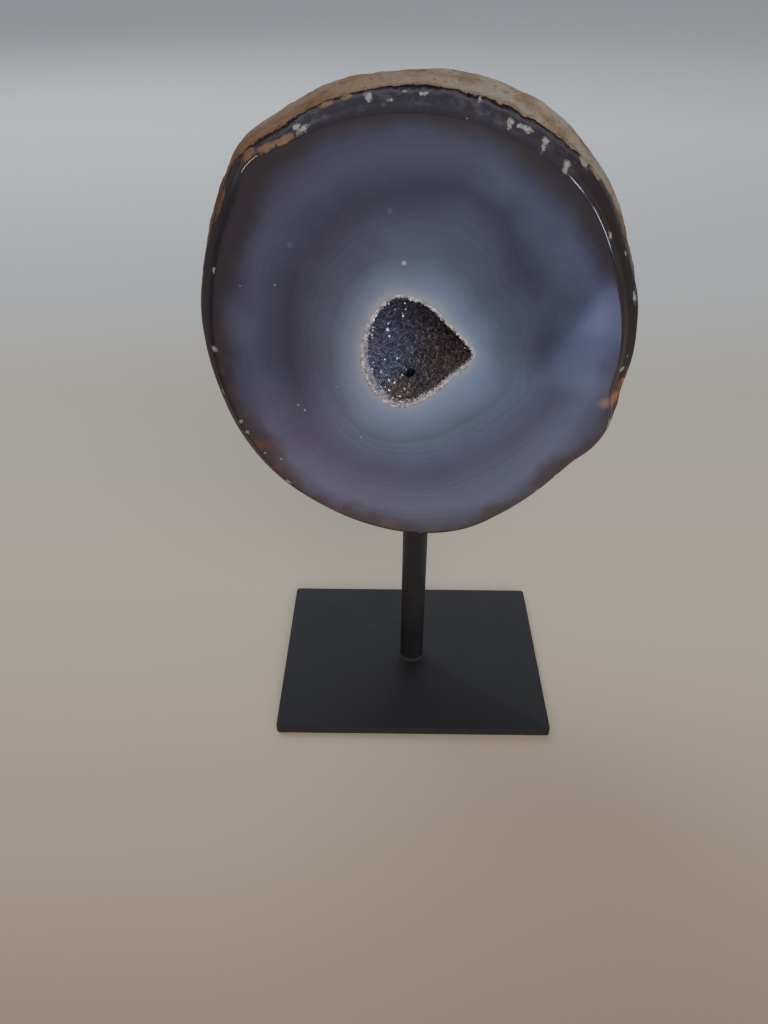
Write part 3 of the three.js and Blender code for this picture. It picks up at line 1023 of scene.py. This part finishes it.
def crust_inset(degrees, lift, crust):
    """How far the crust's free side lies in from the stone, in millimetres."""
    return crust + CRUST_GAP + reach_at(CRUST_EXTRA, degrees) * math.exp(-lift / 11)


def rim_paleness(spot, face_y):
    """How much of the pale rim colour the quartz has at a place given in millimetres."""
    angle, away = polar(spot[0], spot[2], HOLLOW_CENTRE)
    # The pale quartz reaches deeper where the crust is thick, and greys away from the stone.
    reach = 0.3 + 1.9 * reach_at(CRUST_EXTRA, angle)
    inward = reach_at(HOLLOW_OUTLINE, angle) - away
    shallow = 1 - smooth_step(0.4 * reach, 1.5 * reach, spot[1] - face_y)
    return shallow * (1 - 0.6 * smooth_step(0.3, 1.8, inward))


def crystal_point():
    """One quartz point of unit width along +Z: a short hexagonal prism under a six-sided tip.

    Its foot is sunk 0.2 into the crust, the prism is 0.55 long and the tip 0.6."""
    deselect_all()
    bpy.ops.mesh.primitive_circle_add(vertices=6, radius=0.5, fill_type="NOTHING", location=(0, 0, -0.2))
    point = bpy.context.object
    bpy.ops.object.transform_apply(location=True, rotation=True, scale=True)
    bpy.ops.object.mode_set(mode="EDIT")
    bpy.ops.mesh.select_all(action="SELECT")
    bpy.ops.mesh.extrude_region_move(TRANSFORM_OT_translate={"value": (0, 0, 0.55)})
    bpy.ops.mesh.extrude_region_move(TRANSFORM_OT_translate={"value": (0, 0, 0.6)})
    bpy.ops.mesh.merge(type="CENTER")
    bpy.ops.mesh.select_all(action="SELECT")
    bpy.ops.mesh.normals_make_consistent(inside=False)
    bpy.ops.object.mode_set(mode="OBJECT")
    return point


def line_hollow(settings, face_y):
    """Models the crust that lines the hollow, with the pit in its floor."""
    depth = settings.depth / MM
    crust = settings.crust / MM
    rim_y = face_y + CRUST_SET_BACK
    pit = Vector(PIT_CENTRE)

    # Inner wall from the bottom up to the rim, the cut rim, then the outer wall back down.
    lifts = list(np.linspace(90, 1.2, 46))
    rings = [("inner", lift) for lift in lifts]
    rings += [("inner", 0.0), ("rim", 0.35), ("rim", 0.7), ("outer", 0.0)]
    rings += [("outer", lift) for lift in reversed(lifts[::3])]

    def place(ring, degrees):
        zone, value = rings[ring]
        if zone == "outer":
            return hollow_point(degrees, value, CRUST_GAP, rim_y, depth) * MM
        lift = 0 if zone == "rim" else value
        inner = hollow_point(degrees, lift, crust_inset(degrees, lift, crust), rim_y, depth)
        wobble = noise.noise(inner * 0.9) * 0.15
        inner += (Vector((HOLLOW_CENTRE[0], inner.y, HOLLOW_CENTRE[1])) - inner).normalized() * wobble
        if zone == "rim":
            outer = hollow_point(degrees, 0, CRUST_GAP, rim_y, depth)
            return inner.lerp(outer, value) * MM
        from_pit = inner - pit
        if from_pit.length < PIT_RADIUS:
            inner = pit + from_pit * 0.6 + Vector((0, 0.55, -0.8)) * (PIT_RADIUS - from_pit.length)
        return inner * MM

    lining = add_tube("quartz_lining", LINING_SIDES, len(rings))
    shape_tube(lining, place)
    pales = [rim_paleness(vertex.co / MM, face_y) for vertex in lining.data.vertices]
    store_values(lining, "near_face", pales)
    store_values(lining, "tone", [0.35] * len(pales))
    return lining


def grow_points(settings, face_y):
    """Models one crystal point and copies it over the wall, each copy turned and sized by chance."""
    depth = settings.depth / MM
    crust = settings.crust / MM
    pit = Vector(PIT_CENTRE)
    pattern = crystal_point()
    corners = [vertex.co.copy() for vertex in pattern.data.vertices]
    sides = [tuple(polygon.vertices) for polygon in pattern.data.polygons]
    # The seed is fixed, so that every run gives the same crystals.
    chance = random.Random(11)
    places = []
    faces = []
    pales = []
    tones = []
    for i in range(settings.crystal_count):
        lift = math.degrees(math.asin((i + 0.5) / settings.crystal_count))
        degrees = (i * GOLDEN_ANGLE + chance.uniform(-2, 2)) % FULL_TURN
        inset = crust_inset(degrees, lift, crust)
        foot = hollow_point(degrees, lift, inset, face_y, depth)
        if (foot - pit).length < PIT_RADIUS * 0.85:
            continue
        beside = hollow_point(degrees + 1, lift, inset, face_y, depth)
        above = hollow_point(degrees, min(lift + 1, 90), inset, face_y, depth)
        inward = (beside - foot).cross(above - foot).normalized()
        if inward.dot(Vector((HOLLOW_CENTRE[0], face_y, HOLLOW_CENTRE[1])) - foot) < 0:
            inward.negate()
        lean = Vector((chance.gauss(0, 1), chance.gauss(0, 1), chance.gauss(0, 1))) * 0.22
        turn = (inward + lean).to_track_quat("Z", "Y").to_matrix()
        turn = turn @ Matrix.Rotation(chance.uniform(0, 2), 3, "Z")
        width = settings.crystal_width / MM * chance.uniform(0.7, 1.4)
        tall = width * chance.uniform(0.6, 1.0)
        tone = chance.random()
        pale = rim_paleness(foot, face_y) + chance.uniform(-0.2, 0.2)
        pales += [min(1.0, max(0.0, pale))] * len(corners)
        tones += [tone] * len(corners)
        start = len(places)
        for corner in corners:
            local = Vector((corner.x * width, corner.y * width, corner.z * tall))
            spot = foot + turn @ local
            # Points that reach the face were cut off flat when it was polished.
            spot.y = max(spot.y, face_y + POINT_SET_BACK)
            places.append(spot * MM)
        faces += [tuple(start + k for k in side) for side in sides]
    mesh = bpy.data.meshes.new("quartz_points")
    mesh.from_pydata(places, [], faces)
    mesh.update()
    bpy.data.objects.remove(pattern)
    points = bpy.data.objects.new("quartz_points", mesh)
    bpy.context.scene.collection.objects.link(points)
    store_values(points, "near_face", pales)
    store_values(points, "tone", tones)
    return points


class AGATE_OT_druse(bpy.types.Operator):
    """Model the quartz crust of the hollow and the crystal points that stand on it"""

    bl_idname = "agate.druse"
    bl_label = "Grow the crystals"

    def execute(self, context):
        settings = context.scene.agate_druse
        face_y = context.scene.agate_stone.face_y / MM
        lining = line_hollow(settings, face_y)
        points = grow_points(settings, face_y)
        material = quartz(settings)
        for piece in (lining, points):
            piece.data.materials.append(material)
            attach(piece, "root")
            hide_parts("quartz_crust")
        return {"FINISHED"}


def powder_coat(settings):
    """Black polyester powder coat, baked on steel: satin, with a fine orange-peel texture."""
    material = new_material("black_powder_coat")
    tree = material.node_tree
    place = add_node(tree, "TexCoord").outputs["Object"]
    # The peel's real grain is near 0.3 mm, drawn at 0.5 mm so that it shows. A film of dust lies on
    # it in soft patches of about 11 mm.
    peel = add_node(tree, "TexNoise", {"Scale": 2000, "Detail": 2, "Roughness": 0.5}, {"Vector": place})
    dust = add_node(tree, "TexNoise", {"Scale": 90, "Detail": 5, "Roughness": 0.65}, {"Vector": place})
    film = add_node(tree, "MapRange", {"From Min": 0.35, "From Max": 0.7}, {"Value": dust})
    colour = add_node(tree, "Mix", {6: (*settings.paint, 1), 7: "#1f1f22"}, {0: film}, **COLOURS)
    roughness = add_node(tree, "MapRange", {"To Min": 0.42, "To Max": 0.55}, {"Value": film})
    bump = add_node(tree, "Bump", {"Strength": 0.25, "Distance": 0.0001}, {"Height": peel})
    inputs = {"Base Color": colour, "Roughness": roughness, "Normal": bump}
    return finish_material(material, {"IOR": 1.5}, inputs)


def model_plate(settings):
    """Models the foot plate, with round corners and softened edges."""
    low, high = (Vector(corner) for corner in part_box("foot_plate"))
    deselect_all()
    bpy.ops.mesh.primitive_cube_add(size=1, location=(low + high) / 2, scale=high - low)
    plate = bpy.context.object
    plate.name = "plate_coated"
    bpy.ops.object.transform_apply(location=True, rotation=True, scale=True)
    plate.data.attributes.new("bevel_weight_edge", "FLOAT", "EDGE")
    bpy.ops.object.mode_set(mode="EDIT")
    bpy.ops.mesh.select_mode(type="EDGE")
    bpy.ops.mesh.select_all(action="DESELECT")
    bpy.ops.object.mode_set(mode="OBJECT")
    for edge in plate.data.edges:
        a, b = (plate.data.vertices[i].co for i in edge.vertices)
        edge.select = abs(a.z - b.z) > 0.001
    bpy.ops.object.mode_set(mode="EDIT")
    bpy.ops.mesh.bevel(offset=settings.corner, segments=6, affect="EDGES")
    bpy.ops.object.mode_set(mode="OBJECT")
    rounding = plate.modifiers.new("edges", "BEVEL")
    rounding.width = settings.edge
    rounding.segments = 3
    rounding.limit_method = "ANGLE"
    rounding.angle_limit = math.radians(50)
    apply_modifier(plate, rounding)
    bpy.ops.object.shade_smooth_by_angle(angle=math.radians(30))
    return plate


def model_rod(settings):
    """Models the rod: a lumpy weld bead, then straight up to a chamfered top."""
    rod_low, rod_high = (Vector(corner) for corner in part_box("rod"))
    radius = settings.rod_radius
    weld = settings.weld
    chamfer = 0.0006
    lump_height = 0.00018
    rings = [(0.0, 0.0)]
    rings += [
        (radius + weld * (1 - math.sin(t * math.pi / 2)), weld * (1 - math.cos(t * math.pi / 2)))
        for t in np.linspace(0, 1, 9)
    ]
    height = rod_high.z - rod_low.z
    rings += [(radius, weld + (height - weld - chamfer) * t) for t in np.linspace(0.02, 1, 24)]
    rings += [(radius - chamfer, height), (0.0, height)]

    def place(ring, degrees):
        out, up = rings[ring]
        a = math.radians(degrees)
        lump = noise.noise(Vector((3 * math.cos(a), 3 * math.sin(a), 0.4 * ring)))
        bead = max(0.0, out - radius) / weld
        out = out + lump_height * lump * bead if bead > 0 else out
        return Vector((out * math.cos(a), out * math.sin(a), rod_low.z + up))

    rod = add_tube("rod_coated", ROD_SIDES, len(rings))
    shape_tube(rod, place)
    bpy.ops.object.shade_smooth_by_angle(angle=math.radians(40))
    return rod


class AGATE_OT_stand(bpy.types.Operator):
    """Model the powder-coated foot plate and the rod that is welded to it"""

    bl_idname = "agate.stand"
    bl_label = "Weld the stand"

    def execute(self, context):
        settings = context.scene.agate_stand
        coat = powder_coat(settings)

        plate = model_plate(settings)
        rod = model_rod(settings)
        for piece, node in ((plate, "foot_plate"), (rod, "rod")):
            piece.data.materials.clear()
            piece.data.materials.append(coat)
            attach(piece, "root")
            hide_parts(node)
        return {"FINISHED"}


def add_area_light(name, place, target, size, energy, colour, spin=0):
    """A rectangular light that the camera doesn't see, aimed at a target and spun about its aim."""
    lamp = bpy.data.lights.new(name, "AREA")
    lamp.shape = "RECTANGLE"
    lamp.size, lamp.size_y = size
    lamp.energy = energy
    lamp.color = linear(colour)
    light = bpy.data.objects.new(name, lamp)
    light.visible_camera = False
    bpy.context.scene.collection.objects.link(light)
    aim = Vector(target) - Vector(place)
    turn = aim.to_track_quat("-Z", "Y").to_matrix() @ Matrix.Rotation(math.radians(spin), 3, "Z")
    light.matrix_world = Matrix.Translation(place) @ turn.to_4x4()
    return light


def laminate_with_painted_light():
    """Pale matt laminate with painted light: darker and warmer near the camera as painted shade, lighter
    towards the back as painted daylight.
    """
    material = new_material("laminate_with_painted_light")
    tree = material.node_tree
    place = add_node(tree, "TexCoord").outputs["Object"]
    depth = add_node(tree, "SeparateXYZ", links={0: place}).outputs["Y"]
    back = add_node(tree, "MapRange", {"From Min": -0.2, "From Max": 1.0}, {"Value": depth})
    # This ramp paints light on the floor: painted shade near the camera, painted daylight far back.
    mixed = add_node(
        tree,
        "ValToRGB",
        links={"Fac": back},
        stops=[
            (0.04, "#877662"), (0.1, "#a49682"), (0.15, "#b2a593"), (0.2, "#b6ab9b"),
            (0.34, "#b5aea3"), (0.5, "#bcc0c1"), (1.0, "#e4e9ec"),
        ],
    )
    return finish_material(material, {"Roughness": 0.6}, {"Base Color": mixed})


def light_room(power):
    """Lights the room, brightest behind the stone and dimmer overhead and in front."""
    world = bpy.data.worlds.new("soft_room")
    bpy.context.scene.world = world
    world.use_nodes = True
    room = world.node_tree
    room.nodes.clear()
    aim = add_node(room, "TexCoord").outputs["Generated"]
    axes = add_node(room, "SeparateXYZ", links={0: aim})
    behind = add_node(
        room,
        "MapRange",
        {"From Min": 0.1, "From Max": 0.9, "To Min": 0.27 * power, "To Max": 0.62 * power},
        {"Value": axes.outputs["Y"]},
        **SMOOTH,
    )
    sky = add_node(room, "Background", {"Color": "#f3f8ff"}, {"Strength": behind})
    add_node(room, "OutputWorld", links={"Surface": sky})


def set_lamps(power):
    """Sets the lights that fill the room and those that the polish and the crystals mirror."""
    # Two wide soft lights, kept out of the polish's reflections.
    middle = (0, 0, 0.11)
    for name, place, energy, colour in (
        ("window", (-0.7, 0.9, 1.5), 17, "#f2f6ff"),
        ("front_fill", (0.25, -1.2, 0.7), 22, "#fff8f0"),
    ):
        light = add_area_light(name, place, middle, (1.2, 1.2), energy * power, colour)
        light.visible_glossy = False

    # Bright slits at both sides, which the face's rounded edge and the crystals mirror.
    for name, place, size, energy, colour, spin in (
        ("right_slit_high", (0.4, -0.298, 0.33), (0.04, 0.045), 0.17, "#e0ecff", 37),
        ("right_slit_low", (0.462, -0.264, 0.215), (0.035, 0.115), 0.26, "#e0ecff", 20),
        ("left_slit", (-0.385, -0.325, 0.35), (0.035, 0.19), 0.8, "#ffcc94", -36),
    ):
        light = add_area_light(name, place, middle, size, energy * power, colour, spin)
        light.visible_diffuse = False

    # Low cards at front right, which the polished face mirrors as a pale patch.
    card_turn = Matrix.Rotation(math.radians(26.6), 4, "Z") @ Matrix.Rotation(math.pi, 4, "X")
    for name, x, y, length, energy in (
        ("far_card", 0.194, -0.335, 0.103, 0.12),
        ("near_card", 0.152, -0.251, 0.085, 0.045),
    ):
        place = (x, y, 0.004)
        card = add_area_light(name, place, (x, y, 1), (0.13, length), energy * power, "#b4c4ff")
        card.matrix_world = Matrix.Translation(place) @ card_turn
        card.visible_diffuse = False


def set_camera(lens):
    """Sets the camera, worked out from the plate's corners and the rod."""
    place = (-0.0080, -0.1954, 0.2092)
    pitch = math.radians(36.25)
    yaw = math.radians(-0.61)
    roll = math.radians(0.17)
    forward = Vector((
        math.sin(yaw) * math.cos(pitch), math.cos(yaw) * math.cos(pitch), -math.sin(pitch)
    ))
    right = Vector((math.cos(yaw), -math.sin(yaw), 0))
    up = right.cross(forward)
    across = math.cos(roll) * right + math.sin(roll) * up
    upright = -math.sin(roll) * right + math.cos(roll) * up
    turn = Matrix((across, upright, -forward)).transposed().to_4x4()
    camera_data = bpy.data.cameras.new("camera")
    camera_data.lens = lens
    camera_data.sensor_width = 36
    camera_data.clip_start = 0.01
    camera = bpy.data.objects.new("camera", camera_data)
    bpy.context.scene.collection.objects.link(camera)
    camera.matrix_world = Matrix.Translation(place) @ turn
    bpy.context.scene.camera = camera


class AGATE_OT_stage(bpy.types.Operator):
    """Set the plain floor, the soft lights and the camera"""

    bl_idname = "agate.stage"
    bl_label = "Set the stage"

    def execute(self, context):
        settings = context.scene.agate_stage
        deselect_all()
        bpy.ops.mesh.primitive_plane_add(size=16, location=(0, 0, 0))
        floor = bpy.context.object
        floor.name = "floor"
        floor.data.materials.append(laminate_with_painted_light())

        light_room(settings.light)
        set_lamps(settings.light)
        set_camera(settings.lens)
        return {"FINISHED"}


class AGATE_PT_panel(bpy.types.Panel):
    """Lists the pieces of the agate and its stand"""

    bl_label = "Agate on a stand"
    bl_space_type = "VIEW_3D"
    bl_region_type = "UI"
    bl_category = "Agate"

    def draw(self, context):
        for operator, group in (
            ("agate.stone", "agate_stone"),
            ("agate.druse", "agate_druse"),
            ("agate.stand", "agate_stand"),
            ("agate.stage", "agate_stage"),
        ):
            box = self.layout.box()
            box.operator(operator)
            settings = getattr(context.scene, group)
            for name in settings.bl_rna.properties.keys():
                if name not in ("rna_type", "name"):
                    box.prop(settings, name)


SETTINGS = {
    "agate_stone": AgateStoneSettings,
    "agate_druse": AgateDruseSettings,
    "agate_stand": AgateStandSettings,
    "agate_stage": AgateStageSettings,
}
CLASSES = (
    *SETTINGS.values(), AGATE_OT_stone, AGATE_OT_druse, AGATE_OT_stand, AGATE_OT_stage, AGATE_PT_panel
)


def register():
    for item in CLASSES:
        bpy.utils.register_class(item)
    for name, group in SETTINGS.items():
        setattr(bpy.types.Scene, name, PointerProperty(type=group))


def unregister():
    for name in SETTINGS:
        delattr(bpy.types.Scene, name)
    for item in reversed(CLASSES):
        bpy.utils.unregister_class(item)


def main():
    """Builds every piece and the stage."""
    register()
    bpy.ops.agate.stone()
    bpy.ops.agate.druse()
    bpy.ops.agate.stand()
    bpy.ops.agate.stage()


if __name__ == "__main__":
    main()
